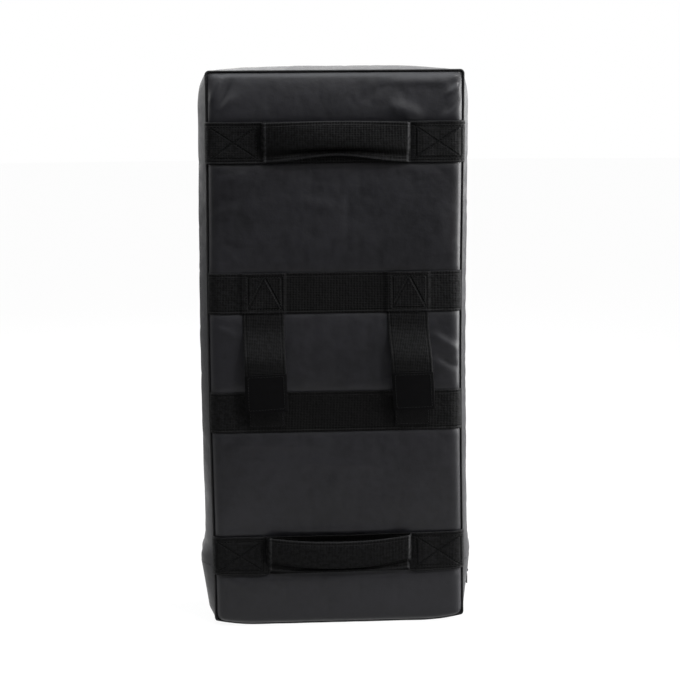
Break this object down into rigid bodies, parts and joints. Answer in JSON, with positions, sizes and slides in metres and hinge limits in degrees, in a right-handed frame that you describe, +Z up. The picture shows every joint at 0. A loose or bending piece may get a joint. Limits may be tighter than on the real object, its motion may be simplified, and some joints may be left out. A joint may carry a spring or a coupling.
{
  "type": "strike shield",
  "caption": "Tall rectangular foam strike shield with a leather cover, carry handles and forearm straps on its back, and a zip round its base.",
  "frame": {"origin": "under the middle of the shield's bounding box, on the flat of its base", "axes": "+Z up along the shield's height, -Y out of the strap side, +Y out of the strike side, +X to the right seen from the strap side"},
  "size_m": [0.3466, 0.1489, 0.704],
  "materials": {
    "leather": "black synthetic leather, fine grain, semi-matte",
    "piping": "black synthetic leather piping",
    "webbing": "black ribbed nylon webbing",
    "tab_leather": "smooth black synthetic leather",
    "hook_and_loop": "black hook and loop",
    "firm_foam": "firm closed-cell foam",
    "soft_foam": "open-cell foam",
    "zip_tape": "black woven zip tape",
    "zip_nylon": "black moulded nylon",
    "black_metal": "black painted zinc"
  },
  "bodies": {
    "pad": {"back_panel": "leather", "strike_panel": "leather", "main_gusset": "leather", "zip_gusset_back": "leather", "zip_gusset_strike": "leather", "back_piping": "piping", "strike_piping": "piping", "backing_foam": "firm_foam", "core_foam": "soft_foam", "strike_foam": "soft_foam", "upper_handle_band": "webbing", "lower_handle_band": "webbing", "upper_arm_band": "webbing", "lower_arm_band": "webbing", "upper_handle_end_left": "webbing", "upper_handle_end_right": "webbing", "upper_handle_riser_left": "webbing", "upper_handle_riser_right": "webbing", "lower_handle_end_left": "webbing", "lower_handle_end_right": "webbing", "lower_handle_riser_left": "webbing", "lower_handle_riser_right": "webbing", "arm_strap_root_left": "webbing", "arm_strap_root_right": "webbing", "loop_patch_left": "hook_and_loop", "loop_patch_right": "hook_and_loop", "zip_tape_back": "zip_tape", "zip_tape_strike": "zip_tape", "zip_teeth_back": "zip_nylon", "zip_teeth_strike": "zip_nylon", "zip_bottom_stop": "zip_nylon", "zip_top_stop_back": "zip_nylon", "zip_top_stop_strike": "zip_nylon"},
    "upper_handle": {"upper_handle_grip": "webbing", "upper_handle_core": "firm_foam"},
    "lower_handle": {"lower_handle_grip": "webbing", "lower_handle_core": "firm_foam"},
    "left_arm_strap": {"arm_strap_left": "webbing"},
    "right_arm_strap": {"arm_strap_right": "webbing"},
    "left_strap_tab": {"strap_tab_left": "webbing", "tab_cover_left": "tab_leather", "hook_patch_left": "hook_and_loop"},
    "right_strap_tab": {"strap_tab_right": "webbing", "tab_cover_right": "tab_leather", "hook_patch_right": "hook_and_loop"},
    "slider": {"zip_slider": "black_metal"},
    "pull": {"zip_pull": "black_metal"}
  },
  "joints": [
    {"name": "upper_handle_tilt", "type": "hinge", "parent": "pad", "child": "upper_handle", "pos_m": [0, -0.0546, 0.6125], "axis": [-1, 0, 0], "range_deg": [-22, 22], "deforming": ["upper_handle_riser_left", "upper_handle_riser_right"]},
    {"name": "lower_handle_tilt", "type": "hinge", "parent": "pad", "child": "lower_handle", "pos_m": [0, -0.0546, 0.091], "axis": [-1, 0, 0], "range_deg": [-22, 22], "deforming": ["lower_handle_riser_left", "lower_handle_riser_right"]},
    {"name": "arm_strap_left_swing", "type": "hinge", "parent": "pad", "child": "left_arm_strap", "pos_m": [-0.08989, -0.05385, 0.3971], "axis": [-1, 0, 0], "range_deg": [-5, 110]},
    {"name": "arm_strap_right_swing", "type": "hinge", "parent": "pad", "child": "right_arm_strap", "pos_m": [0.09028, -0.05385, 0.3971], "axis": [-1, 0, 0], "range_deg": [-5, 110]},
    {"name": "strap_tab_left_peel", "type": "hinge", "parent": "left_arm_strap", "child": "left_strap_tab", "pos_m": [-0.08825, -0.07343, 0.32887], "axis": [-1, 0, 0], "range_deg": [0, 90]},
    {"name": "strap_tab_right_peel", "type": "hinge", "parent": "right_arm_strap", "child": "right_strap_tab", "pos_m": [0.0943, -0.07343, 0.32887], "axis": [-1, 0, 0], "range_deg": [0, 90]},
    {"name": "zip_slide", "type": "slide", "parent": "pad", "child": "slider", "axis": [-0.1644, 0, -0.9864], "range_m": [0, 0.028]},
    {"name": "zip_pull_flip", "type": "hinge", "parent": "slider", "child": "pull", "pos_m": [0.17151, 0.01125, 0.04946], "axis": [0, -1, 0], "range_deg": [-8, 160]}
  ]
}
